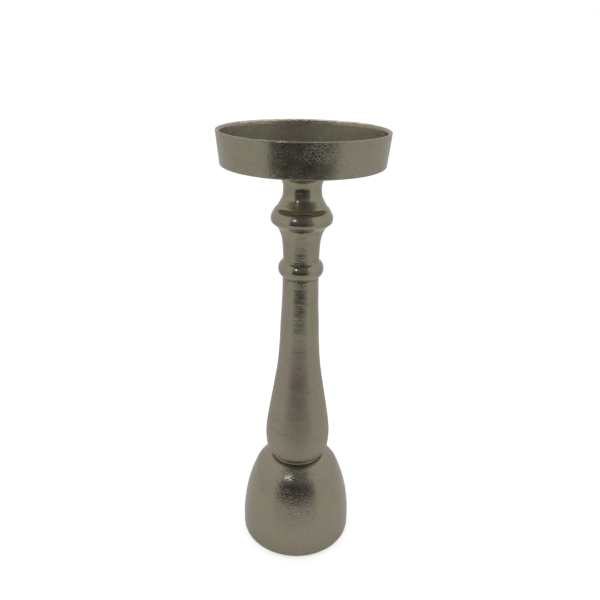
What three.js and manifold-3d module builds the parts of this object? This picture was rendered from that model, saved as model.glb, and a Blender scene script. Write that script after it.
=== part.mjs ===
// Tall pillar-candle stand: five turned castings stacked on one tie rod and clamped from below.
//
// From the table up: four felt pads, a hollow bell base, a baluster stem, a collar with two beads,
// a flared neck and a shallow pan for the candle. The tie rod screws into a countersunk sleeve nut
// in the pan's floor, and a hex nut with two washers pulls it tight inside the base.
// Units are millimetres, +Z is up, and the origin is the centre of the footprint on the table.

import * as THREE from "three";
import { mergeVertices } from "three/addons/utils/BufferGeometryUtils.js";
import Module from "manifold-3d";

const wasm = await Module();
wasm.setup();

// ---------------------------------------------------------------- driving dimensions

const totalHeight = 330; // table to the pan's rim
const fitGap = 0.3; // radial room between parts that slide into each other

const pan = {
  rimRadius: 58,
  footRadius: 55.8, // outer wall at the underside
  height: 22.8, // underside to rim
  floor: 4,
  wall: 2.7,
  lipRound: 1,
  lipBevel: 1.5, // inside the lip
  insideFillet: 3,
  hubRadius: 24.5,
  hubHeight: 3.4,
};

const neck = { waistRadius: 13.3, waistHeight: 291.8, coveRadius: 9.3, footRadius: 19.1, bottom: 276.5 };
const collar = { bottom: 226.6, waistRadius: 12.85 };
const stem = {
  bottom: 73.7,
  footRadius: 20.7, // thin lip that stands on the base
  undercutRadius: 19.9, // under that lip
  lipGroove: 0.25, // between the lip and the bulb
  bulbRadius: 25.2,
  topRadius: 13.1,
  coreRadius: 16, // plain tapered core, thinner walls towards the top
  coreTopRadius: 8.4,
};

const base = {
  bodyRadius: 43.8, // widest, on the ellipse's centre height
  bellyHeight: 10,
  domeHeight: 80, // vertical semi-axis of the dome's ellipse
  bottomRound: 3.2,
  mouthRadius: 32, // opening on the underside
  ceiling: 62.5, // top of the hollow
  bossRadius: 12.5,
  bossBottom: 54,
};

const rod = { radius: 4, bottom: 36, top: 303 }; // M8, threaded at both ends
const rodHoleRadius = 4.5;
const sleeve = {
  headRadius: 8.9,
  headEdge: 0.4, // short straight edge above the 45 degree countersink
  sunk: 0.2, // head below the pan's floor
  barrelRadius: 5.6,
  bottom: 290,
  boreTop: 304,
  socketFlats: 6,
  socketDepth: 3,
};
const washer = { radius: 12, thickness: 1.8 };
const springWasher = { radius: 7.3, thickness: 2.2, gap: 1.6 };
const nut = { flats: 13, height: 6.5, chamfer: 0.8 };
const pad = { radius: 4, thickness: 1.5, circleRadius: 36.3, count: 4 };

// Heights that follow from the ones above.
const panUnderside = totalHeight - pan.height;
const panFloorTop = panUnderside + pan.floor;
const hubBottom = panUnderside - pan.hubHeight;
const baseBottom = pad.thickness;

// Spigots that centre one casting in the next: [radius, height].
const stemSpigot = [15, 4]; // stem's foot in the base
const collarSpigot = [9, 4]; // stem's top in the collar
const neckSpigot = [12, 4]; // collar's top in the neck

const wideSides = 40; // facets round the pan and the base
const slimSides = 28;
const smallSides = 20;
const curveSteps = 2; // three.js gives an arc twice this, and a spline this per point

// ---------------------------------------------------------------- shape helpers

// Turns a closed outline of (radius, height) about the Z axis.
function turned(outline, sides) {
  const drawn = outline.getPoints(curveSteps);
  const points = drawn.filter((p, i) => i === 0 || p.distanceTo(drawn[i - 1]) > 0.02);
  points[points.length - 1].copy(points[0]);
  return new THREE.LatheGeometry(points, sides).rotateX(Math.PI / 2);
}

// The same for a solid that reaches the axis, whose outline starts and ends on it.
function turnedSolid(outline, sides) {
  return new THREE.LatheGeometry(outline.getPoints(curveSteps), sides).rotateX(Math.PI / 2);
}

function vectors(pairs) {
  return pairs.map(([radius, height]) => new THREE.Vector2(radius, height));
}

function hexagon(flats) {
  const corner = flats / 2 / Math.cos(Math.PI / 6);
  const corners = [0, 1, 2, 3, 4, 5].map((k) => {
    const angle = (k * Math.PI) / 3;
    return new THREE.Vector2(corner * Math.cos(angle), corner * Math.sin(angle));
  });
  return new THREE.Shape(corners);
}

function extruded(shape, height, z) {
  const settings = { depth: height, bevelEnabled: false, curveSegments: smallSides / 2 };
  return new THREE.ExtrudeGeometry(shape, settings).translate(0, 0, z);
}

// A closed three.js geometry as a manifold-3d solid, and back.
function toSolid(geometry) {
  const bare = geometry.clone();
  bare.deleteAttribute("normal");
  bare.deleteAttribute("uv");
  const merged = mergeVertices(bare, 1e-3);
  const vertProperties = new Float32Array(merged.attributes.position.array);
  const triVerts = new Uint32Array(merged.index.array);
  return new wasm.Manifold(new wasm.Mesh({ numProp: 3, vertProperties, triVerts }));
}

function toGeometry(solid) {
  const { vertProperties, triVerts } = solid.getMesh();
  const geometry = new THREE.BufferGeometry();
  geometry.setAttribute("position", new THREE.BufferAttribute(vertProperties, 3));
  geometry.setIndex(new THREE.BufferAttribute(triVerts, 1));
  geometry.computeVertexNormals();
  return geometry;
}

// ---------------------------------------------------------------- materials

const nickel = new THREE.MeshStandardMaterial({ color: 0x9c968a, roughness: 0.34, metalness: 1 });
const zincSteel = new THREE.MeshStandardMaterial({ color: 0xa9adb0, roughness: 0.38, metalness: 1 });
const felt = new THREE.MeshStandardMaterial({ color: 0x2b2a28, roughness: 0.95, metalness: 0 });

// ---------------------------------------------------------------- castings

// Shallow dish with a drafted wall, a lip rounded outside and bevelled inside, and a hub underneath.
function candlePan() {
  const { rimRadius, footRadius, wall, lipRound: lip, lipBevel, insideFillet: fillet, hubRadius } = pan;
  const insideFoot = footRadius - wall;
  const lipHeight = totalHeight - lip;
  const holeRadius = sleeve.barrelRadius + fitGap;
  const sinkRadius = sleeve.headRadius + fitGap;
  const sinkEdge = panFloorTop - sleeve.sunk - sleeve.headEdge - fitGap;
  const outline = new THREE.Path()
    .moveTo(holeRadius, hubBottom)
    .lineTo(hubRadius - 1, hubBottom)
    .lineTo(hubRadius, hubBottom + 1)
    .lineTo(hubRadius, panUnderside - 1.2)
    .lineTo(hubRadius + 1.2, panUnderside)
    .lineTo(footRadius - 0.6, panUnderside)
    .lineTo(footRadius, panUnderside + 0.5)
    .absarc(rimRadius - lip, lipHeight, lip, 0, Math.PI / 2, false)
    .lineTo(rimRadius - wall + lipBevel, totalHeight)
    .lineTo(rimRadius - wall, totalHeight - lipBevel)
    .absarc(insideFoot - fillet, panFloorTop + fillet, fillet, 0, -Math.PI / 2, true)
    .lineTo(sinkRadius, panFloorTop)
    .lineTo(sinkRadius, sinkEdge)
    .lineTo(holeRadius, sinkEdge - (sinkRadius - holeRadius))
    .closePath();
  return turned(outline, wideSides);
}

// Flared spool between the collar and the pan.
function flaredNeck() {
  const { waistRadius, waistHeight, coveRadius, footRadius, bottom } = neck;
  const [spigotRadius, spigotHeight] = neckSpigot;
  const recessRadius = spigotRadius + fitGap;
  const recessTop = bottom + spigotHeight + fitGap;
  const barrelHole = sleeve.barrelRadius + fitGap;
  const barrelHoleBottom = sleeve.bottom - 2;
  const coveTop = waistHeight + coveRadius;
  const flare = [[16.5, 280], [14, 284.9], [13.4, 288.5], [waistRadius, waistHeight]];
  const outline = new THREE.Path()
    .moveTo(rodHoleRadius, recessTop)
    .lineTo(recessRadius, recessTop)
    .lineTo(recessRadius, bottom)
    .lineTo(footRadius - 0.5, bottom)
    .lineTo(footRadius, bottom + 0.4)
    .lineTo(17.5, bottom + 1.7)
    .splineThru(vectors(flare))
    .absarc(waistRadius + coveRadius, waistHeight, coveRadius, Math.PI, Math.PI / 2, true)
    .lineTo(waistRadius + coveRadius + 0.5, coveTop + 0.5)
    .lineTo(waistRadius + coveRadius + 0.5, hubBottom)
    .lineTo(barrelHole, hubBottom)
    .lineTo(barrelHole, barrelHoleBottom)
    .lineTo(rodHoleRadius, barrelHoleBottom)
    .closePath();
  return turned(outline, slimSides);
}

// Concave drum between a small bead below and a large bead above.
function beadedCollar() {
  const { bottom, waistRadius } = collar;
  const top = neck.bottom;
  const [lowerRadius, lowerHeight] = collarSpigot;
  const [upperRadius, upperHeight] = neckSpigot;
  const smallBead = [[14.2, 228], [15.7, 230], [16.3, 232.9], [16, 235.3], [15, 237.4], [13.5, 238.9]];
  const drum = [[13.25, 249.5], [14.2, 256.8], [16.3, 262.4], [17.5, 264.2]];
  const largeBead = [[21.7, 269.2], [21.75, 270.6], [21.2, 272.8], [19.8, 275.5]];
  const outline = new THREE.Path()
    .moveTo(rodHoleRadius, bottom + lowerHeight + fitGap)
    .lineTo(lowerRadius + fitGap, bottom + lowerHeight + fitGap)
    .lineTo(lowerRadius + fitGap, bottom)
    .lineTo(stem.topRadius - 0.2, bottom)
    .splineThru(vectors(smallBead))
    .lineTo(waistRadius, 239.4)
    .splineThru(vectors(drum))
    .lineTo(21.3, 267.5)
    .splineThru(vectors(largeBead))
    .lineTo(neck.footRadius, top - 0.3)
    .lineTo(neck.footRadius - 0.4, top)
    .lineTo(upperRadius, top)
    .lineTo(upperRadius, top + upperHeight)
    .lineTo(rodHoleRadius, top + upperHeight)
    .closePath();
  return turned(outline, slimSides);
}

// Long pear-shaped baluster, cored hollow, standing on a thin undercut lip.
function balusterStem() {
  const { bottom, footRadius, undercutRadius, lipGroove } = stem;
  const { bulbRadius, topRadius, coreRadius, coreTopRadius } = stem;
  const top = collar.bottom;
  const [footSpigotRadius, footSpigotHeight] = stemSpigot;
  const [topSpigotRadius, topSpigotHeight] = collarSpigot;
  const bulb = [[23.7, 80.3], [bulbRadius, 92.5], [24, 107]];
  const shaft = [[18.75, 139.5], [16.4, 155.5], [15.05, 171.5], [14.45, 187], [13.6, 204]];
  const coreTop = 216;
  const core = [[11, 160], [coreRadius, 116], [coreRadius, 92]];
  const outline = new THREE.Path()
    .moveTo(rodHoleRadius, bottom - footSpigotHeight)
    .lineTo(footSpigotRadius, bottom - footSpigotHeight)
    .lineTo(footSpigotRadius, bottom)
    .lineTo(undercutRadius, bottom)
    .lineTo(undercutRadius, bottom + 0.7)
    .lineTo(footRadius, bottom + 1.2)
    .lineTo(footRadius, bottom + 2.3)
    .lineTo(footRadius - lipGroove, bottom + 2.7)
    .lineTo(footRadius, bottom + 3.1)
    .splineThru(vectors([...bulb, ...shaft, [topRadius, 221]]))
    .lineTo(topRadius, top - 0.3)
    .lineTo(topRadius - 0.3, top)
    .lineTo(topSpigotRadius, top)
    .lineTo(topSpigotRadius, top + topSpigotHeight)
    .lineTo(rodHoleRadius, top + topSpigotHeight)
    .lineTo(rodHoleRadius, coreTop + 4)
    .lineTo(coreTopRadius, coreTop)
    .splineThru(vectors(core))
    .lineTo(rodHoleRadius, 84)
    .closePath();
  return turned(outline, slimSides);
}

// Bell with an elliptical dome outside and an open, drafted hollow with a clamping boss inside.
function bellBase() {
  const { bodyRadius, bellyHeight, domeHeight, bottomRound, mouthRadius } = base;
  const { ceiling, bossRadius, bossBottom } = base;
  const top = stem.bottom;
  const [spigotRadius, spigotHeight] = stemSpigot;
  const socketRadius = spigotRadius + fitGap;
  const socketFloor = top - spigotHeight - fitGap;
  const roundTop = baseBottom + bottomRound;
  const onDome = (height) => Math.asin((height - bellyHeight) / domeHeight);
  const shoulderFoot = 66; // where the dome gives way to the rounded shoulder
  const belly = onDome(roundTop + 2);
  const flank = onDome(shoulderFoot / 2);
  const shoulder = [[28.9, 68.3], [25.4, 71.5], [22.6, 73.2], [stem.footRadius, top]];
  const hollow = [[31.2, 26], [27.6, 48]];
  const outline = new THREE.Path()
    .moveTo(mouthRadius, baseBottom)
    .absarc(bodyRadius - bottomRound - 0.1, roundTop, bottomRound, -Math.PI / 2, 0, false)
    .absellipse(0, bellyHeight, bodyRadius, domeHeight, belly, flank, false)
    .absellipse(0, bellyHeight, bodyRadius, domeHeight, flank, onDome(shoulderFoot), false)
    .splineThru(vectors(shoulder))
    .lineTo(socketRadius, top)
    .lineTo(socketRadius, socketFloor)
    .lineTo(rodHoleRadius, socketFloor)
    .lineTo(rodHoleRadius, bossBottom)
    .lineTo(bossRadius, bossBottom)
    .lineTo(bossRadius + 0.6, ceiling - 1.5)
    .lineTo(bossRadius + 2.4, ceiling)
    .lineTo(19, ceiling)
    .splineThru(vectors(hollow).reverse())
    .closePath();
  return turned(outline, wideSides);
}

// ---------------------------------------------------------------- fasteners and feet

function tieRod() {
  const { radius, bottom, top } = rod;
  const outline = new THREE.Path()
    .moveTo(0, bottom)
    .lineTo(radius - 0.8, bottom)
    .lineTo(radius, bottom + 0.8)
    .lineTo(radius, top - 0.8)
    .lineTo(radius - 0.8, top)
    .lineTo(0, top);
  return turnedSolid(outline, smallSides);
}

// Sleeve nut with a countersunk head, a blind bore below and a hexagon socket above.
function sleeveNut() {
  const { headRadius, headEdge, sunk, barrelRadius, bottom, boreTop, socketFlats, socketDepth } = sleeve;
  const headTop = panFloorTop - sunk;
  const outline = new THREE.Path()
    .moveTo(0, boreTop)
    .lineTo(rod.radius + fitGap, boreTop)
    .lineTo(rod.radius + fitGap, bottom)
    .lineTo(barrelRadius, bottom)
    .lineTo(barrelRadius, headTop - headEdge - (headRadius - barrelRadius))
    .lineTo(headRadius, headTop - headEdge)
    .lineTo(headRadius, headTop)
    .lineTo(0, headTop);
  const body = toSolid(turnedSolid(outline, smallSides));
  const socket = toSolid(extruded(hexagon(socketFlats), socketDepth + 1, headTop - socketDepth));
  return toGeometry(body.subtract(socket));
}

function flatWasher() {
  const { radius, thickness } = washer;
  const top = base.bossBottom;
  const outline = new THREE.Path()
    .moveTo(rod.radius + fitGap, top - thickness)
    .lineTo(radius, top - thickness)
    .lineTo(radius, top)
    .lineTo(rod.radius + fitGap, top)
    .closePath();
  return turned(outline, smallSides);
}

// Split ring with square ends.
function lockWasher() {
  const { radius, thickness, gap } = springWasher;
  const innerRadius = rod.radius + fitGap;
  const start = gap / 2 / radius;
  const ring = new THREE.Shape()
    .absarc(0, 0, radius, start, 2 * Math.PI - start, false)
    .absarc(0, 0, innerRadius, 2 * Math.PI - start, start, true)
    .closePath();
  return extruded(ring, thickness, base.bossBottom - washer.thickness - thickness);
}

// Hexagon nut, its corners chamfered on both faces.
function hexNut() {
  const { flats, height, chamfer } = nut;
  const top = base.bossBottom - washer.thickness - springWasher.thickness;
  const bottom = top - height;
  const corner = flats / 2 / Math.cos(Math.PI / 6);
  const bore = rod.radius + fitGap;
  const blank = new THREE.Path()
    .moveTo(bore, bottom)
    .lineTo(corner - chamfer, bottom)
    .lineTo(corner + 0.2, bottom + chamfer)
    .lineTo(corner + 0.2, top - chamfer)
    .lineTo(corner - chamfer, top)
    .lineTo(bore, top)
    .closePath();
  const hexagonBar = toSolid(extruded(hexagon(flats), height + 2, bottom - 1));
  return toGeometry(toSolid(turned(blank, smallSides)).intersect(hexagonBar));
}

function feltPad() {
  return new THREE.CylinderGeometry(pad.radius, pad.radius, pad.thickness, smallSides).rotateX(Math.PI / 2);
}

// ---------------------------------------------------------------- assembly

const candleStand = new THREE.Group();

function place(name, geometry, material) {
  const mesh = new THREE.Mesh(geometry, material);
  mesh.name = name;
  candleStand.add(mesh);
  return mesh;
}

place("candle_pan", candlePan(), nickel);
place("flared_neck", flaredNeck(), nickel);
place("beaded_collar", beadedCollar(), nickel);
place("baluster_stem", balusterStem(), nickel);
place("bell_base", bellBase(), nickel);
place("tie_rod", tieRod(), zincSteel);
place("sleeve_nut", sleeveNut(), zincSteel);
place("flat_washer", flatWasher(), zincSteel);
place("lock_washer", lockWasher(), zincSteel);
place("hex_nut", hexNut(), zincSteel);

for (let k = 0; k < pad.count; k += 1) {
  const angle = ((k + 0.5) * 2 * Math.PI) / pad.count;
  const disc = place(`felt_pad_${k + 1}`, feltPad(), felt);
  disc.position.z = pad.thickness / 2;
  disc.position.x = pad.circleRadius * Math.cos(angle);
  disc.position.y = pad.circleRadius * Math.sin(angle);
}

export default candleStand;
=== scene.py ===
"""Looks of a turned, sand-cast candle stand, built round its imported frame.

Each casting is revolved again from the section of its CAD node, with smooth curves between the section's
points, softened edges and the slight unevenness of a hand-finished casting. Lengths are in metres.
"""

import math

import bmesh
import bpy
import numpy as np
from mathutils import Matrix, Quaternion, Vector, noise


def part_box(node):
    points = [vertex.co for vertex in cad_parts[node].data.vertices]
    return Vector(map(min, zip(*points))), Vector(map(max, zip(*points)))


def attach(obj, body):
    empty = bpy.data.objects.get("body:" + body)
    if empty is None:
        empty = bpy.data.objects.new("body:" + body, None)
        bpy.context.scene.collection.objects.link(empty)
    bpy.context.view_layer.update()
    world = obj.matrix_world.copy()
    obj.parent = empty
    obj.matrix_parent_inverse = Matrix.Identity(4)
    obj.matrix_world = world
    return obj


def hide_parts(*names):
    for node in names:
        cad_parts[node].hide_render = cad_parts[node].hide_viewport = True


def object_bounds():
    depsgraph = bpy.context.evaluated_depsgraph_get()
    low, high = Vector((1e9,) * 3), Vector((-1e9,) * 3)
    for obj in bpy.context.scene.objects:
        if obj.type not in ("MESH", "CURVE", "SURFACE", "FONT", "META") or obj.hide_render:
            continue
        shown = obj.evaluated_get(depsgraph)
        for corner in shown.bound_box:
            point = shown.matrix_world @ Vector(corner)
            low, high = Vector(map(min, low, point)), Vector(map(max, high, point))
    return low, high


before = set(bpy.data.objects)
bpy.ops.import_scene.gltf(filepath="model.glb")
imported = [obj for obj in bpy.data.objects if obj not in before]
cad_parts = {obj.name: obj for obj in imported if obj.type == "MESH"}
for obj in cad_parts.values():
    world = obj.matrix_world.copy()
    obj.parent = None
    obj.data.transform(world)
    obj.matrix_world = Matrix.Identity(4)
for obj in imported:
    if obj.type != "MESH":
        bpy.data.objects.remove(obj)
cad_low, cad_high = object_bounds()

MM = 0.001
HEIGHT = cad_high.z

# ---------------------------------------------------------------- outlines taken from the frame

TINY = 1e-6
SHARP = math.radians(33)  # a section turns more than this only at a real edge
LONG = 2.2  # a side this many times its neighbours' length is a straight stretch
CORNER_SHARE = 0.4  # the largest share of a run's length that one rounded corner takes up
CLOSEST = 0.02 * MM  # an outline point nearer than this to the one before it is left out


def section(node):
    """The CAD node's section in the half-plane through +X, anticlockwise, and whether it closes on itself."""
    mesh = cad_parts[node].data
    on_plane = {}
    for vertex in mesh.vertices:
        x, y, z = vertex.co
        if abs(y) < TINY and x > -TINY:
            on_plane[vertex.index] = (round(x, 6), round(z, 6))
    links = {}
    for edge in mesh.edges:
        a, b = (on_plane.get(i) for i in edge.vertices)
        if a and b and a != b:
            links.setdefault(a, set()).add(b)
            links.setdefault(b, set()).add(a)
    ends = sorted(p for p in links if len(links[p]) == 1)
    path = [ends[0] if ends else min(links)]
    while True:
        onward = [p for p in sorted(links[path[-1]]) if p not in path[-2:] and p != path[0]]
        if not onward:
            break
        path.append(onward[0])
    points = np.array(path)
    ahead = np.roll(points, -1, axis=0)
    if np.sum(points[:, 0] * ahead[:, 1] - ahead[:, 0] * points[:, 1]) < 0:
        points = points[::-1]
    return points, not ends


def unit(v):
    return v / np.linalg.norm(v)


def turning(a, b):
    """Angle from direction a to direction b, anticlockwise positive."""
    return math.atan2(a[0] * b[1] - a[1] * b[0], a @ b)


def smooth_run(points, step):
    """Points every step or so along a smooth curve through the given ones, straight where a side is long."""
    sides = np.diff(points, axis=0)
    lengths = np.linalg.norm(sides, axis=1)
    heading = sides / lengths[:, None]
    count = len(sides)
    if count == 1:
        straight = [True]
    else:
        straight = []
        for i in range(count):
            beside = [lengths[j] for j in (i - 1, i + 1) if 0 <= j < count]
            straight.append(lengths[i] > LONG * max(beside))
    tangents = [None] * (count + 1)
    for i in range(1, count):
        if straight[i - 1]:
            tangents[i] = heading[i - 1]
        elif straight[i]:
            tangents[i] = heading[i]
        else:
            tangents[i] = unit(heading[i - 1] * lengths[i] + heading[i] * lengths[i - 1])
    for end, beside, side in ((0, 1, 0), (count, count - 1, count - 1)):
        if straight[side]:
            tangents[end] = heading[side]
        else:
            tangents[end] = 2 * (heading[side] @ tangents[beside]) * heading[side] - tangents[beside]
    made = []
    for i in range(count):
        pieces = max(1, round(lengths[i] / step))
        for k in range(pieces):
            t = k / pieces
            onward = t * t * (3 - 2 * t)
            first, last = t * (1 - t) ** 2, t * t * (t - 1)  # the cubic weights of the two tangents
            bend = (tangents[i] * first + tangents[i + 1] * last) * lengths[i]
            made.append(points[i] + sides[i] * onward + bend)
    made.append(points[-1])
    return made


def rounded(before, corner, after, reach):
    """Replaces the sharp corner between two runs by a short curve that starts a reach away from it. Returns
    the first run cut short, the curve, and the second run cut short."""
    def cut(run):
        while len(run) > 1 and np.linalg.norm(run[-2] - corner) < reach:
            run = run[:-1]
        far = run[-2]
        share = min(1, reach / np.linalg.norm(far - corner))
        return run[:-1] + [corner + (far - corner) * share]

    first = cut(list(before))
    last = cut(list(after)[::-1])[::-1]
    a, b = first[-1], last[0]
    curve = [(1 - t) ** 2 * a + 2 * t * (1 - t) * corner + t * t * b for t in (0.2, 0.4, 0.6, 0.8)]
    return first, curve, last


def room_for_corner(run, other_end, corner):
    """How far from a corner its rounding may reach along a run, judged by the run's first step from there."""
    return CORNER_SHARE * np.linalg.norm(run[other_end] - corner) * max(1, len(run) - 1)


def outline(node, step, edge):
    """The node's section made smooth. edge is how far a sharp corner's rounding reaches along each side."""
    points, closed = section(node)
    count = len(points)
    around = [(points[i] - points[i - 1], points[(i + 1) % count] - points[i]) for i in range(count)]
    sharp = [i for i, (a, b) in enumerate(around) if abs(turning(unit(a), unit(b))) > SHARP]
    if not closed:
        sharp = sorted(set(sharp) | {0, count - 1})
    runs = []
    for k, start in enumerate(sharp):
        stop = sharp[(k + 1) % len(sharp)]
        if not closed and k == len(sharp) - 1:
            break
        span = (stop - start) % count or count
        runs.append(smooth_run(np.array([points[(start + j) % count] for j in range(span + 1)]), step))
    curves = [[] for _ in runs]
    corners = range(len(runs)) if closed else range(1, len(runs))
    for k in corners:
        corner = runs[k][0]
        reach = min(edge, room_for_corner(runs[k], 1, corner), room_for_corner(runs[k - 1], -2, corner))
        runs[k - 1], curves[k], runs[k] = rounded(runs[k - 1], corner, runs[k], reach)
    made = []
    for curve, run in zip(curves, runs):
        made += curve + run
    if closed and np.linalg.norm(made[0] - made[-1]) < TINY:
        made.pop()
    kept = [made[0]]
    for point in made[1:]:
        if np.linalg.norm(point - kept[-1]) > CLOSEST:
            kept.append(point)
    return np.array(kept), closed


def eased(points, low, narrow, rounds):
    """The outline with its bends above a height and outside a radius spread over a few millimetres. Each
    round moves every point there halfway to the middle of its neighbours."""
    points = points.copy()
    soft = (points[:, 1] > low) & (points[:, 0] > narrow)
    for _ in range(rounds):
        middle = (np.roll(points, 1, axis=0) + np.roll(points, -1, axis=0)) / 2
        points[soft] += (middle[soft] - points[soft]) / 2
    return points


# ---------------------------------------------------------------- meshes

LUMP_SIZE = 14 * MM  # of the castings' broad unevenness
WAVE_SIZE, WAVE_REACH = 3.4 * MM, 60 * MM  # a ripple's pitch, and how far it keeps its height round the piece
FILE_MARK = 4.5 * MM  # of the dents that a file leaves in a rim
INNER_WALL = -0.8  # a normal that points further in than this is on a rim's inner wall, which isn't filed


def new_piece(name, vertices, faces, *materials, zones=None, crease=math.radians(32)):
    """A mesh object that rides on the root, smooth except where its faces meet at more than crease."""
    mesh = bpy.data.meshes.new(name)
    mesh.from_pydata([tuple(v) for v in vertices], [], faces)
    for material in materials:
        mesh.materials.append(material)
    if zones is not None:
        mesh.polygons.foreach_set("material_index", zones)
    mesh.shade_smooth()
    mesh.set_sharp_from_angle(angle=crease)
    mesh.update()
    piece = bpy.data.objects.new(name, mesh)
    bpy.context.scene.collection.objects.link(piece)
    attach(piece, "root")
    return piece


def loft(rings, closed):
    """Vertices and faces of the surface through rings of equal length. closed joins the last ring to the
    first; otherwise the surface ends at the first and the last ring."""
    sides = len(rings[0])
    vertices = [v for ring in rings for v in ring]
    faces = []
    pairs = len(rings) if closed else len(rings) - 1
    for j in range(pairs):
        low, high = j * sides, (j + 1) % len(rings) * sides
        for i in range(sides):
            k = (i + 1) % sides
            faces.append((low + i, low + k, high + k, high + i))
    return vertices, faces


def skin(point, lumps, waves):
    """How far a hand-finished skin stands off its true shape here. lumps is the depth of the casting's broad
    unevenness, and waves that of the ripples that a hand-held turning tool leaves round it."""
    off = lumps * noise.fractal(point / LUMP_SIZE, 0.6, 2.1, 3)
    if waves:
        around = Vector((point.x / WAVE_REACH, point.y / WAVE_REACH, point.z / WAVE_SIZE))
        off += waves * noise.fractal(around, 0.7, 2.0, 2)
    return off


def revolved(
    name, node, sides, step, edge, *materials,
    inside=None, lumps=0.0, waves=0.0, ragged=None, ease=None,
):
    """A casting or turned piece from its CAD node's section, with so many sides round the axis. step and edge
    are for outline(), lumps and waves for skin(). The second material goes where inside(height, out_r, out_z)
    is true. ragged is (height, depth) of a hand-filed rim, and ease is what eased() takes."""
    points, closed = outline(node, step, edge)
    if ease:
        points = eased(points, *ease)
    ahead, behind = np.roll(points, -1, axis=0), np.roll(points, 1, axis=0)
    along = ahead - behind
    if not closed:
        along[0], along[-1] = points[1] - points[0], points[-1] - points[-2]
    normals = np.stack([along[:, 1], -along[:, 0]], axis=1)
    normals /= np.linalg.norm(normals, axis=1)[:, None]
    seed = Vector((len(name) * 0.37, len(node) * 0.11, 0))  # gives each piece an unevenness of its own
    filed_from, filed_depth = ragged or (math.inf, 0.0)
    rings = []
    for (radius, height), (out_r, out_z) in zip(points, normals):
        ring = []
        for i in range(sides):
            angle = 2 * math.pi * i / sides
            c, s = math.cos(angle), math.sin(angle)
            point = Vector((radius * c, radius * s, height))
            off = skin(point + seed, lumps, waves)
            if height > filed_from and out_r > INNER_WALL:
                off += filed_depth * noise.noise(point / FILE_MARK)
            ring.append(point + Vector((out_r * c, out_r * s, out_z)) * off)
        rings.append(ring)
    vertices, faces = loft(rings, closed)
    zones = None
    if inside:
        zones = []
        count = len(points)
        for j in range(count if closed else count - 1):
            height = (points[j][1] + points[(j + 1) % count][1]) / 2
            out_r, out_z = normals[j] + normals[(j + 1) % count]
            zones += [1 if inside(height, out_r, out_z) else 0] * sides
    finish_piece(new_piece(name, vertices, faces, *materials, zones=zones), node)


def finish_piece(piece, node):
    """Lets a piece stand for its CAD node by hiding that node."""
    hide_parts(node)


def merge_doubles(piece):
    """Joins the vertices that a loft's end rings leave on the axis."""
    mesh = bmesh.new()
    mesh.from_mesh(piece.data)
    bmesh.ops.remove_doubles(mesh, verts=mesh.verts, dist=TINY)
    mesh.to_mesh(piece.data)
    mesh.free()


# ---------------------------------------------------------------- materials

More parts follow.
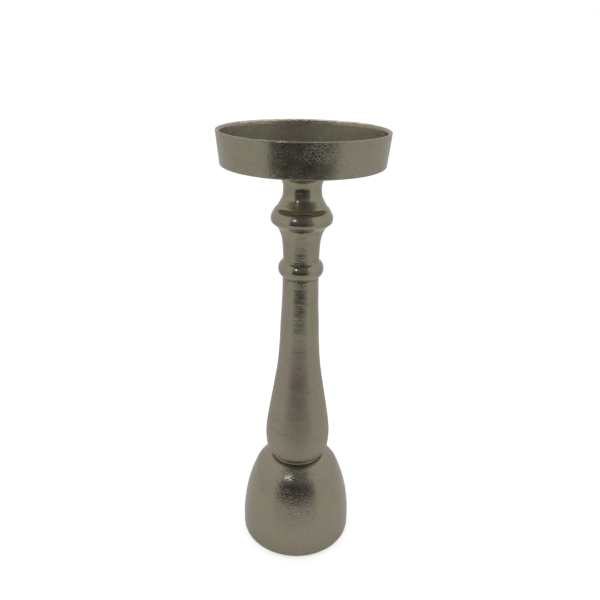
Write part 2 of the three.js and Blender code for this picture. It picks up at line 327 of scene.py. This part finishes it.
class Shader:
    """A Principled material whose nodes are added one by one."""

    def __init__(self, name):
        self.material = bpy.data.materials.new(name)
        self.material.use_nodes = True
        self.nodes = self.material.node_tree.nodes
        self.links = self.material.node_tree.links
        self.surface = self.nodes["Principled BSDF"]
        self.place = self.nodes.new("ShaderNodeTexCoord").outputs["Object"]

    def connect(self, value, socket):
        """Feeds a socket from another node's output, or sets it to a number or colour."""
        if hasattr(value, "is_output"):
            self.links.new(value, socket)
        else:
            socket.default_value = value

    def math(self, operation, a, b=0.0, c=0.0):
        node = self.nodes.new("ShaderNodeMath")
        node.operation = operation
        for value, socket in zip((a, b, c), node.inputs):
            self.connect(value, socket)
        return node.outputs[0]

    def stretched(self, x, y, z, shift=(0, 0, 0)):
        """The place on the object, scaled by a factor along each axis and shifted."""
        node = self.nodes.new("ShaderNodeMapping")
        node.inputs["Scale"].default_value = (x, y, z)
        node.inputs["Location"].default_value = shift
        self.links.new(self.place, node.inputs["Vector"])
        return node.outputs[0]

    def height(self):
        """The height of the place above the floor."""
        node = self.nodes.new("ShaderNodeSeparateXYZ")
        self.links.new(self.place, node.inputs[0])
        return node.outputs["Z"]

    def noise(self, size, detail=2.0, roughness=0.5, distortion=0.0, at=None):
        """Noise from 0 to 1 whose lumps are about size across."""
        node = self.nodes.new("ShaderNodeTexNoise")
        node.inputs["Scale"].default_value = 1 / size
        node.inputs["Detail"].default_value = detail
        node.inputs["Roughness"].default_value = roughness
        node.inputs["Distortion"].default_value = distortion
        self.links.new(at or self.place, node.inputs["Vector"])
        return node.outputs["Fac"]

    def cells(self, size, feature, at=None):
        """Distance within cells about size across, from their middle (F1) or from their edge."""
        node = self.nodes.new("ShaderNodeTexVoronoi")
        node.feature = feature
        node.inputs["Scale"].default_value = 1 / size
        self.links.new(at or self.place, node.inputs["Vector"])
        return node.outputs["Distance"]

    def nudged(self, size, amount):
        """The place on the object, pushed about by noise."""
        node = self.nodes.new("ShaderNodeTexNoise")
        node.inputs["Scale"].default_value = 1 / size
        self.links.new(self.place, node.inputs["Vector"])
        scale = self.nodes.new("ShaderNodeVectorMath")
        scale.operation = "MULTIPLY_ADD"
        self.links.new(node.outputs["Color"], scale.inputs[0])
        scale.inputs[1].default_value = (amount,) * 3
        self.links.new(self.place, scale.inputs[2])
        return scale.outputs[0]

    def ramp(self, value, low, high, to_low=0.0, to_high=1.0):
        """A smooth step from to_low, where the value is low or less, to to_high."""
        node = self.nodes.new("ShaderNodeMapRange")
        node.interpolation_type = "SMOOTHSTEP"
        self.connect(value, node.inputs["Value"])
        for name, number in zip(("From Min", "From Max", "To Min", "To Max"), (low, high, to_low, to_high)):
            node.inputs[name].default_value = number
        return node.outputs["Result"]

    def mixed(self, share, a, b, blend="MIX"):
        """Two colours mixed by a share from 0 to 1."""
        node = self.nodes.new("ShaderNodeMix")
        node.data_type = "RGBA"
        node.blend_type = blend
        self.connect(share, node.inputs["Factor"])
        for value, name in ((a, "A"), (b, "B")):
            socket = [s for s in node.inputs if s.name == name and s.type == "RGBA"][0]
            self.connect((*value, 1) if isinstance(value, tuple) else value, socket)
        return [s for s in node.outputs if s.type == "RGBA"][0]

    def grey(self, value):
        """A grey of the given brightness."""
        node = self.nodes.new("ShaderNodeCombineColor")
        for socket in node.inputs:
            self.connect(value, socket)
        return node.outputs[0]

    def bump(self, height, depth, before=None):
        """Relief of the given depth for a height from 0 to 1, on top of another bump."""
        node = self.nodes.new("ShaderNodeBump")
        node.inputs["Distance"].default_value = depth
        self.connect(height, node.inputs["Height"])
        if before:
            self.links.new(before, node.inputs["Normal"])
        return node.outputs[0]


# Sizes of what the metal's skin is made of.
PATCH = 26 * MM  # olive and blushing patches
STAIN = 15 * MM
BLOTCH = 7 * MM  # areas that are a little rougher or smoother
SPECKLE = 1.3 * MM
SAND, FINE_SAND = 1.2 * MM, 0.55 * MM
SAND_PATCH = 13 * MM  # areas where the sand grain is stronger
PIT = 1.6 * MM  # from one pit to the next
WORM, WORM_PATCH = 2.1 * MM, 17 * MM  # cells of the crinkled flow marks, and the areas that have them
TURNING = 1.4 * MM  # from one fine turning line to the next
SCORE, SCORE_PATCH = 24 * MM, 12 * MM  # from one deep tool mark to the next, and the areas that have them


def shaded(tone, factors):
    """A colour with each of its channels multiplied by a factor."""
    return tuple(c * f for c, f in zip(tone, factors))


def tarnished(s, tone, deep, tarnish, speckle):
    """The metal's colour: olive and blushing patches, stains of the deep colour, and fine dust."""
    olive = shaded(tone, (0.97, 1.0, 0.93))
    blush = shaded(tone, (1.04, 0.98, 1.02))
    patches = s.ramp(s.noise(PATCH, 3.0), 0.36, 0.64)
    colour = s.mixed(patches, olive, blush)
    stain = s.math("MULTIPLY", s.ramp(s.noise(STAIN, 5.0, 0.65, 0.6), 0.52, 0.8), tarnish)
    colour = s.mixed(stain, colour, deep)
    dust = s.grey(s.ramp(speckle, 0.25, 0.75, 0.9, 1.07))
    return s.mixed(1.0, colour, dust, "MULTIPLY")


def dappled(s, roughness, speckle):
    """Roughness that differs a little from blotch to blotch and from speck to speck."""
    blotches = s.ramp(s.noise(BLOTCH, 4.0, 0.6), 0.3, 0.75)
    rough = s.math("MULTIPLY_ADD", blotches, 0.08, roughness - 0.05)
    return s.math("MULTIPLY_ADD", s.ramp(speckle, 0.3, 0.7), 0.03, rough)


def sandy(s, depth):
    """Relief of sand grains of two sizes, stronger in some areas than in others."""
    sand = s.math("ADD", s.noise(SAND, 2.0, 0.6), s.math("MULTIPLY", s.noise(FINE_SAND, 1.0), 0.6))
    amount = s.ramp(s.noise(SAND_PATCH, 2.0), 0.35, 0.65, 0.55, 1.25)
    return s.bump(s.math("MULTIPLY", sand, amount), depth)


def crinkled(s, depth, before):
    """Relief of thin ridges round cells of uneven shape, in a few areas only."""
    crinkle = s.cells(WORM, "DISTANCE_TO_EDGE", s.nudged(2.2 * MM, 1.8 * MM))
    ridge = s.ramp(crinkle, 0.0, 0.09, 1.0, 0.0)
    shifted = s.stretched(1, 1, 1, (9 * MM, 0, 3 * MM))
    where = s.ramp(s.noise(WORM_PATCH, 2.0, at=shifted), 0.51, 0.59)
    return s.bump(s.math("MULTIPLY", ridge, where), depth, before)


def tool_marks(s):
    """Where the tool cut deep, from 0 to 1: thin lines round the piece that come and go."""
    level = s.noise(SCORE, 3.0, 0.6, 0.0, s.stretched(0.12, 0.12, 1))
    off_line = s.math("ABSOLUTE", s.math("SUBTRACT", level, 0.5))
    here = s.ramp(s.noise(SCORE_PATCH, 1.0), 0.5, 0.6)
    return s.math("MULTIPLY", s.ramp(off_line, 0.002, 0.012, 1.0, 0.0), here)


def cast_metal(
    name, tone, roughness, grain,
    pits=0.0, worms=0.0, rings=0.0, scores=0.0, tarnish=0.35, dulled=None,
):
    """Satin cast metal. grain, pits, worms, rings and scores are the depths of the sand grain, of the pits
    between its grains, of the crinkled flow marks, of the fine turning lines and of the few deep marks that
    the tool left. dulled is (low, high, more): from the upper height down to the lower one the polish gives
    way to that much more roughness."""
    s = Shader(name)
    deep = shaded(tone, (0.72, 0.70, 0.62))
    speckle = s.noise(SPECKLE, 2.0, 0.6)
    colour = tarnished(s, tone, deep, tarnish, speckle)
    rough = dappled(s, roughness, speckle)
    if dulled:
        low, high, more = dulled
        rough = s.math("ADD", rough, s.ramp(s.height(), low, high, more, 0.0))
    normal = sandy(s, grain)
    if pits:
        normal = s.bump(s.ramp(s.cells(PIT, "F1"), 0.1, 0.42), pits, normal)
    if worms:
        normal = crinkled(s, worms, normal)
    if rings:
        turned_lines = s.noise(TURNING, 2.0, 0.6, 0.0, s.stretched(0.04, 0.04, 1))
        normal = s.bump(turned_lines, rings, normal)
    if scores:
        groove_and_painted_shade = tool_marks(s)
        normal = s.bump(s.math("SUBTRACT", 1.0, groove_and_painted_shade), scores, normal)
        # painted shade: the tool marks' colour is also darkened halfway to the deep colour, as shade in their
        # grooves
        colour = s.mixed(s.math("MULTIPLY", groove_and_painted_shade, 0.5), colour, deep)
    s.links.new(colour, s.surface.inputs["Base Color"])
    s.surface.inputs["Metallic"].default_value = 1.0
    s.links.new(rough, s.surface.inputs["Roughness"])
    s.links.new(normal, s.surface.inputs["Normal"])
    return s.material


def zinc_steel():
    """Bright zinc plating over turned steel, with fine rubbed lines and dull spots."""
    s = Shader("zinc_plated_steel")
    spots = s.ramp(s.noise(3 * MM, 4.0, 0.6), 0.35, 0.7)
    s.links.new(s.mixed(spots, (0.50, 0.51, 0.52), (0.40, 0.40, 0.39)), s.surface.inputs["Base Color"])
    s.surface.inputs["Metallic"].default_value = 1.0
    s.links.new(s.math("MULTIPLY_ADD", spots, 0.16, 0.26), s.surface.inputs["Roughness"])
    lines = s.noise(0.35 * MM, 2.0, 0.6, 0.0, s.stretched(0.15, 0.15, 1))
    s.links.new(s.bump(lines, 0.006 * MM), s.surface.inputs["Normal"])
    return s.material


def pressed_felt():
    """Charcoal wool felt: matted fibres, lighter tips, no shine."""
    s = Shader("pressed_felt")
    fibre = s.noise(0.35 * MM, 6.0, 0.75, 2.0)
    matted = s.noise(1.8 * MM, 3.0)
    share = s.math("MULTIPLY", s.ramp(fibre, 0.35, 0.7), s.ramp(matted, 0.3, 0.7, 0.5, 1.0))
    s.links.new(s.mixed(share, (0.016, 0.015, 0.014), (0.075, 0.07, 0.065)), s.surface.inputs["Base Color"])
    s.surface.inputs["Roughness"].default_value = 0.95
    s.surface.inputs["Sheen Weight"].default_value = 0.35
    s.surface.inputs["Sheen Roughness"].default_value = 0.6
    s.links.new(s.bump(fibre, 0.12 * MM), s.surface.inputs["Normal"])
    return s.material


SILVER = (0.385, 0.355, 0.27)
DULL_SILVER = shaded(SILVER, (0.9, 0.9, 0.9))
RING_DEPTH, SCORE_DEPTH = 0.012 * MM, 0.06 * MM
polished = cast_metal("silver_polished_casting", SILVER, 0.22, 0.08 * MM, worms=0.06 * MM)
turned = cast_metal("silver_turned_casting", SILVER, 0.16, 0.05 * MM, rings=RING_DEPTH, scores=SCORE_DEPTH)
half_dulled = cast_metal(
    "silver_turned_stem", SILVER, 0.16, 0.06 * MM,
    rings=RING_DEPTH, scores=SCORE_DEPTH, dulled=(160 * MM, 190 * MM, 0.22),
)
grainy = cast_metal("silver_grainy_casting", SILVER, 0.19, 0.10 * MM, pits=0.09 * MM)
# darker tone and more stains than the rest, where inside_dish and inside_bell choose this material: the
# hollows and undersides
as_cast = cast_metal("silver_as_cast", DULL_SILVER, 0.45, 0.14 * MM, pits=0.12 * MM, tarnish=0.8)
zinc = zinc_steel()
felt = pressed_felt()

# ---------------------------------------------------------------- castings

PAN_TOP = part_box("candle_pan")[1].z
BASE_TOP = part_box("bell_base")[1].z
INSET = 3 * MM  # this far down from a piece's top all of its skin is finished
RIM, FILED = 1.2 * MM, 0.18 * MM  # height of the dish's hand-filed rim, and the depth of its file marks

# For the sum of the unit normals along a strip's two edges, which goes from -2 to 2.
INWARD, LEVEL, DOWNWARD = -0.2, 1.2, -1.6


def inside_dish(height, out_r, out_z):
    """Whether a strip of the pan's skin is as cast: floor, wall under the polished lip, or underside."""
    return height < PAN_TOP - INSET and (out_r < INWARD or abs(out_z) > LEVEL)


def inside_bell(height, out_r, out_z):
    """Whether a strip of the base's skin is as cast: the hollow or the foot ring."""
    return height < BASE_TOP - INSET and (out_r < INWARD or out_z < DOWNWARD)


revolved(
    "dish", "candle_pan", 288, 0.8 * MM, 0.8 * MM, polished, as_cast,
    inside=inside_dish, lumps=0.06 * MM, ragged=(PAN_TOP - RIM, FILED),
)
revolved("neck", "flared_neck", 160, 0.7 * MM, 0.5 * MM, turned, lumps=0.05 * MM, waves=0.02 * MM)
revolved("collar", "beaded_collar", 160, 0.6 * MM, 0.4 * MM, turned, lumps=0.05 * MM, waves=0.03 * MM)
revolved("stem", "baluster_stem", 176, 0.8 * MM, 0.5 * MM, half_dulled, lumps=0.05 * MM, waves=0.045 * MM)
revolved(
    "bell", "bell_base", 256, 0.9 * MM, 0.5 * MM, grainy, as_cast,
    inside=inside_bell, lumps=0.035 * MM, ease=(58 * MM, 21.5 * MM, 14),
)

# ---------------------------------------------------------------- fasteners and feet

revolved("flat_washer_fine", "flat_washer", 96, 0.8 * MM, 0.25 * MM, zinc)


def tie_rod():
    """Rod with a rolled thread at each end, in one surface whose radius follows the thread."""
    low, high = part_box("tie_rod")
    radius, pitch, thread_depth = high.x, 1.25 * MM, 0.62 * MM
    sides, rings_per_turn = 40, 8
    lower_thread, upper_thread = 24 * MM, 14 * MM
    chamfer, chamfer_height = 0.5 * MM, 0.9 * MM
    step = pitch / rings_per_turn
    heights = list(np.arange(low.z, low.z + lower_thread, step))
    heights += list(np.arange(high.z - upper_thread, high.z, step)) + [high.z]
    rings = [[Vector((0, 0, low.z))] * sides]
    for z in heights:
        ring = []
        plain = low.z + lower_thread - pitch < z < high.z - upper_thread + pitch
        taper = min(1.0, max(0.0, min(z - low.z, high.z - z) / chamfer_height))
        for i in range(sides):
            angle = 2 * math.pi * i / sides
            phase = (z / pitch - i / sides) % 1
            valley = abs(2 * phase - 1)  # 0 on the crest and 1 at the root; both are made a little flat
            groove = 0 if plain else thread_depth * min(1, max(0, 1.25 * valley - 0.12))
            r = (radius - groove) - (1 - taper) * chamfer
            ring.append(Vector((r * math.cos(angle), r * math.sin(angle), z)))
        rings.append(ring)
    rings.append([Vector((0, 0, high.z))] * sides)
    piece = new_piece("tie_rod_fine", *loft(rings, False), zinc)
    merge_doubles(piece)
    finish_piece(piece, "tie_rod")


def hex_reach(flats, angle):
    """Distance from the axis to the side of a hexagon with a corner on +X, at an angle from +X."""
    return flats / 2 / math.cos(angle % (math.pi / 3) - math.pi / 6)


def hex_nut():
    """Nut with a 30 degree chamfer on both faces and a countersunk bore."""
    low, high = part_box("hex_nut")
    flats = high.y - low.y
    sides, bore, sink = 144, 4.05 * MM, 0.5 * MM
    face = flats / 2 * 0.95  # radius of the flat ring inside the chamfer
    slope, soft = math.tan(math.radians(30)), 0.12 * MM
    rows = []

    def flank(angle):
        return hex_reach(flats, angle)

    def drop(angle):
        """How far the chamfer falls away from the flat ring by the time it reaches the flank."""
        return (flank(angle) - face) * slope

    def row(radius_at, height_at):
        ring = []
        for i in range(sides):
            angle = 2 * math.pi * i / sides
            r = radius_at(angle)
            ring.append(Vector((r * math.cos(angle), r * math.sin(angle), height_at(angle))))
        rows.append(ring)

    row(lambda a: bore + sink, lambda a: low.z)
    row(lambda a: face, lambda a: low.z)
    row(lambda a: flank(a) - soft, lambda a: low.z + drop(a) - soft * slope)
    row(flank, lambda a: low.z + drop(a) + soft)
    row(flank, lambda a: high.z - drop(a) - soft)
    row(lambda a: flank(a) - soft, lambda a: high.z - drop(a) + soft * slope)
    row(lambda a: face, lambda a: high.z)
    row(lambda a: bore + sink, lambda a: high.z)
    row(lambda a: bore, lambda a: high.z - sink)
    row(lambda a: bore, lambda a: low.z + sink)
    finish_piece(new_piece("hex_nut_fine", *loft(rows, True), zinc, crease=math.radians(20)), "hex_nut")


def lock_washer():
    """Split spring ring, its two ends sprung a little apart in height."""
    low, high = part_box("lock_washer")
    outer, inner = max(high.x, -low.x), 4.3 * MM
    rise, gap = 0.35 * MM, math.radians(12)
    thick = high.z - low.z - rise
    steps, soft = 120, 0.2 * MM
    section_points = []
    for r, z, dr, dz in ((inner, 0, 1, 1), (outer, 0, -1, 1), (outer, thick, -1, -1), (inner, thick, 1, -1)):
        flat_first = (r == outer) == (z == 0)
        a, b = (r + dr * soft, z), (r, z + dz * soft)
        section_points += [a, b] if flat_first else [b, a]
    rings = []
    for k in range(steps + 1):
        share = k / steps
        angle = gap / 2 + (2 * math.pi - gap) * share
        c, s = math.cos(angle), math.sin(angle)
        rings.append([Vector((r * c, r * s, low.z + z + rise * share)) for r, z in section_points])
    vertices, faces = loft(rings, False)
    count = len(section_points)
    faces.append(tuple(range(count))[::-1])
    faces.append(tuple(steps * count + i for i in range(count)))
    piece = new_piece("lock_washer_fine", vertices, faces, zinc, crease=math.radians(50))
    finish_piece(piece, "lock_washer")


def sleeve_nut():
    """Countersunk sleeve nut; its hexagon socket is cut with the same corners as the CAD node's."""
    low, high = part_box("sleeve_nut")
    head, barrel = high.x, 5.6 * MM
    socket, depth, edge = 6 * MM, 3 * MM, 0.2 * MM
    drill_point = 0.8 * MM  # below the socket's sides
    bore, bore_top = 4.3 * MM, 304 * MM
    cone_top = high.z - 2 * edge
    sides = 96
    rows = []

    def row(height, radius=None, flats=None):
        ring = []
        for i in range(sides):
            angle = 2 * math.pi * i / sides
            r = hex_reach(flats, angle) if flats else radius
            ring.append(Vector((r * math.cos(angle), r * math.sin(angle), height)))
        rows.append(ring)

    row(bore_top, 0)
    row(bore_top, bore)
    row(low.z + edge, bore)
    row(low.z, bore + edge)
    row(low.z, barrel - edge)
    row(low.z + edge, barrel)
    row(cone_top - (head - barrel), barrel)
    row(cone_top, head - edge / 2)
    row(cone_top + edge, head)
    row(high.z - edge, head)
    row(high.z, head - edge)
    row(high.z, flats=socket + 2 * edge)
    row(high.z - edge, flats=socket)
    row(high.z - depth, flats=socket)
    row(high.z - depth - drill_point, 0)
    piece = new_piece("sleeve_nut_fine", *loft(rows, False), zinc, crease=math.radians(25))
    merge_doubles(piece)
    finish_piece(piece, "sleeve_nut")


def felt_pad(node):
    """Die-cut felt disc with a soft, slightly ragged edge."""
    low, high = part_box(node)
    middle = (low + high) / 2
    radius, thick = (high.x - low.x) / 2, high.z - low.z
    sides, soft = 72, 0.25 * MM
    frayed, frays = 0.12 * MM, 9  # depth of the fraying, and how closely it follows itself round the edge
    own = middle.x * 900  # makes the pads on the two sides fray differently
    rows = [(0, 0), (radius * 0.35, 0), (radius * 0.7, 0), (radius - 2 * soft, 0), (radius - soft, 0.05 * MM)]
    rows += [(radius - 0.3 * soft, soft), (radius, thick / 2), (radius - 0.3 * soft, thick - soft)]
    rows += [(radius - soft, thick), (radius * 0.7, thick), (radius * 0.35, thick), (0, thick)]
    rings = []
    for r, z in rows:
        ring = []
        for i in range(sides):
            angle = 2 * math.pi * i / sides
            c, s = math.cos(angle), math.sin(angle)
            fray = noise.noise(Vector((c * frays, s * frays, z / MM + own)))
            reach = r + (frayed * (fray - 0.6) if r > radius * 0.75 else 0)
            ring.append(Vector((middle.x + reach * c, middle.y + reach * s, low.z + z)))
        rings.append(ring)
    piece = new_piece(node + "_fine", *loft(rings, False), felt, crease=math.radians(70))
    merge_doubles(piece)
    finish_piece(piece, node)


tie_rod()
hex_nut()
lock_washer()
sleeve_nut()
for name in sorted(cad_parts):
    if name.startswith("felt_pad"):
        felt_pad(name)

# ---------------------------------------------------------------- floor, light and camera

ROOM = 0.61  # brightness of the room as the metal sees it


def plain_stage(name, corners, material, seen_by_camera=True):
    """A flat stage sheet. One that the camera doesn't see is only there for the metal to reflect."""
    mesh = bpy.data.meshes.new(name)
    mesh.from_pydata(corners, [], [tuple(range(len(corners)))])
    mesh.materials.append(material)
    sheet = bpy.data.objects.new(name, mesh)
    bpy.context.scene.collection.objects.link(sheet)
    if not seen_by_camera:
        sheet.visible_camera = False
        sheet.visible_diffuse = False
        sheet.visible_shadow = False


def stage_material(name, colour=(0, 0, 0)):
    """A matt material with no shine, and its Principled shader."""
    material = bpy.data.materials.new(name)
    material.use_nodes = True
    surface = material.node_tree.nodes["Principled BSDF"]
    surface.inputs["Base Color"].default_value = (*colour, 1)
    surface.inputs["Roughness"].default_value = 1.0
    surface.inputs["Specular IOR Level"].default_value = 0.0
    return material, surface


def fading(tree, value, near, far, to_near, to_far):
    """A number that goes evenly from to_near to to_far as a value goes from near to far."""
    change = tree.nodes.new("ShaderNodeMapRange")
    tree.links.new(value, change.inputs["Value"])
    for name, number in zip(("From Min", "From Max", "To Min", "To Max"), (near, far, to_near, to_far)):
        change.inputs[name].default_value = number
    return change.outputs["Result"]


def along(tree, axis):
    """The place's coordinate along an axis."""
    apart = tree.nodes.new("ShaderNodeSeparateXYZ")
    tree.links.new(tree.nodes.new("ShaderNodeTexCoord").outputs["Object"], apart.inputs[0])
    return apart.outputs[axis]


def away(tree):
    """How far a place on the floor is from the stand's axis."""
    length = tree.nodes.new("ShaderNodeVectorMath")
    length.operation = "LENGTH"
    tree.links.new(tree.nodes.new("ShaderNodeTexCoord").outputs["Object"], length.inputs[0])
    return length.outputs["Value"]


def white_floor():
    """Matt white, brightened everywhere for the camera alone; round the stand a painted glow brightens it a
    little for every ray, lifting the shade that the stand casts there.
    """
    for_camera = 0.52
    painted_pool = (0.12, 0.45, 0.075, 0.0)  # near, far, and the strength at each, of the painted glow on the floor round the stand
    material, surface = stage_material("floor_white", (0.9, 0.9, 0.9))
    tree = material.node_tree
    glow = tree.nodes.new("ShaderNodeEmission")
    both = tree.nodes.new("ShaderNodeAddShader")
    path = tree.nodes.new("ShaderNodeLightPath")
    strength = tree.nodes.new("ShaderNodeMath")
    strength.operation = "MULTIPLY_ADD"
    strength.inputs[1].default_value = for_camera
    tree.links.new(path.outputs["Is Camera Ray"], strength.inputs[0])
    tree.links.new(fading(tree, away(tree), *painted_pool), strength.inputs[2])
    tree.links.new(strength.outputs[0], glow.inputs["Strength"])
    tree.links.new(surface.outputs[0], both.inputs[0])
    tree.links.new(glow.outputs[0], both.inputs[1])
    tree.links.new(both.outputs[0], tree.nodes["Material Output"].inputs["Surface"])
    return material


def dark_room():
    """The unlit side of the room: nearly black low down, dim above, and dim on the right."""
    upwards, rightwards = (0.12, 0.45, 0.052, 0.18), (0.20, 0.32, 0.0, 0.10)  # near, far, and the strength at each, as for the painted glow round the stand in white_floor
    material, surface = stage_material("dark_room")
    tree = material.node_tree
    surface.inputs["Emission Color"].default_value = (0.96, 0.97, 1.0, 1)
    total = tree.nodes.new("ShaderNodeMath")
    tree.links.new(fading(tree, along(tree, "Z"), *upwards), total.inputs[0])
    tree.links.new(fading(tree, along(tree, "X"), *rightwards), total.inputs[1])
    tree.links.new(total.outputs[0], surface.inputs["Emission Strength"])
    return material


def glowing(name, strength):
    """Even light of the given brightness, whatever shines on it."""
    material, surface = stage_material(name)
    surface.inputs["Emission Color"].default_value = (1, 1, 1, 1)
    surface.inputs["Emission Strength"].default_value = strength
    return material


def shaded_white(near, far):
    """The table between the stand and the dark side of the room, a little less lit further out."""
    near_shade, far_shade = 0.86, 0.74
    material, surface = stage_material("shaded_white")
    tree = material.node_tree
    grey = tree.nodes.new("ShaderNodeCombineColor")
    shade = fading(tree, along(tree, "Y"), near, far, near_shade, far_shade)
    for socket in grey.inputs:
        tree.links.new(shade, socket)
    tree.links.new(grey.outputs[0], surface.inputs["Base Color"])
    return material


def room():
    """White surroundings: dim for the metal, full white for the camera."""
    world = bpy.data.worlds.new("white_room")
    bpy.context.scene.world = world
    world.use_nodes = True
    tree = world.node_tree
    path = tree.nodes.new("ShaderNodeLightPath")
    background = tree.nodes["Background"]
    strength = fading(tree, path.outputs["Is Camera Ray"], 0.0, 1.0, ROOM, 1.0)
    tree.links.new(strength, background.inputs["Strength"])
    background.inputs["Color"].default_value = (1, 1, 1, 1)


def lamp(name, place, size, power, colour):
    """A small round soft lamp aimed at the middle of the stand."""
    light = bpy.data.lights.new(name, "AREA")
    light.shape = "DISK"
    light.size = size
    light.energy = power
    light.color = colour
    lamp_object = bpy.data.objects.new(name, light)
    lamp_object.location = place
    lamp_object.rotation_mode = "QUATERNION"
    lamp_object.rotation_quaternion = (Vector(place) - Vector((0, 0, HEIGHT / 2))).to_track_quat("Z", "Y")
    lamp_object.visible_camera = False
    bpy.context.scene.collection.objects.link(lamp_object)


room()
WIDE = 4.0
floor = [(-WIDE, -WIDE, 0), (WIDE, -WIDE, 0), (WIDE, WIDE, 0), (-WIDE, WIDE, 0)]
plain_stage("floor", floor, white_floor())

# Seen only by the metal: the dark side of the room behind the camera, the dim ceiling over it, the bright
# ceiling behind the stand, and the table's shaded front. The first and the last start just over the floor.
TABLE_EDGE, DARK_LEFT, DARK_RIGHT, DARK_TOP = -0.565, -0.53, 0.54, 0.93
DARK_FOOT = 1 * MM
dark = [
    (DARK_LEFT, TABLE_EDGE, DARK_FOOT),
    (DARK_RIGHT, TABLE_EDGE, DARK_FOOT),
    (DARK_RIGHT, TABLE_EDGE, DARK_TOP),
    (DARK_LEFT, TABLE_EDGE, DARK_TOP),
]
plain_stage("dark_side", dark, dark_room(), seen_by_camera=False)

DIM_END, DIM_HEIGHT, DIM_GLOW = -0.12, 1.6, 0.21
dim = [
    (DARK_LEFT, TABLE_EDGE, DARK_TOP),
    (DARK_RIGHT, TABLE_EDGE, DARK_TOP),
    (DARK_RIGHT, DIM_END, DIM_HEIGHT),
    (1.2 * DARK_LEFT, DIM_END, DIM_HEIGHT),
]
plain_stage("dim_ceiling", dim, glowing("dim_glow", DIM_GLOW), seen_by_camera=False)

BRIGHT_HALF, BRIGHT_START, BRIGHT_END, BRIGHT_LOW, BRIGHT_GLOW = 0.6, 0.1, 0.9, 1.2, 2.0
bright = [
    (-BRIGHT_HALF, BRIGHT_START, DIM_HEIGHT),
    (BRIGHT_HALF, BRIGHT_START, DIM_HEIGHT),
    (BRIGHT_HALF, BRIGHT_END, BRIGHT_LOW),
    (-BRIGHT_HALF, BRIGHT_END, BRIGHT_LOW),
]
plain_stage("bright_ceiling", bright, glowing("bright_glow", BRIGHT_GLOW), seen_by_camera=False)

APRON_START, APRON_HALF, JUST_OVER = -0.1, 0.085, 0.4 * MM
apron = [
    (-APRON_HALF, APRON_START, JUST_OVER),
    (DARK_LEFT, TABLE_EDGE, JUST_OVER),
    (DARK_RIGHT, TABLE_EDGE, JUST_OVER),
    (APRON_HALF, APRON_START, JUST_OVER),
]
plain_stage("shaded_table", apron, shaded_white(APRON_START, TABLE_EDGE), seen_by_camera=False)

lamp("window", place=(-0.178, -0.345, 0.492), size=0.05, power=0.074, colour=(0.78, 0.83, 1.0))

CAMERA_PLACE = (-0.00015, -0.4078, 0.3814)
LENS, SENSOR = 36.17, 36  # in millimetres
LOOKS_DOWN, ROLL = math.radians(23.06), math.radians(1.2)
camera = bpy.data.objects.new("camera", bpy.data.cameras.new("camera"))
camera.data.lens = LENS
camera.data.sensor_width = SENSOR
camera.data.clip_start = 10 * MM
camera.location = CAMERA_PLACE
camera.rotation_mode = "QUATERNION"
tilt = Quaternion((1, 0, 0), math.pi / 2 - LOOKS_DOWN)
camera.rotation_quaternion = tilt @ Quaternion((0, 0, 1), ROLL)
bpy.context.scene.collection.objects.link(camera)
bpy.context.scene.camera = camera
bpy.context.scene.view_settings.view_transform = "Standard"
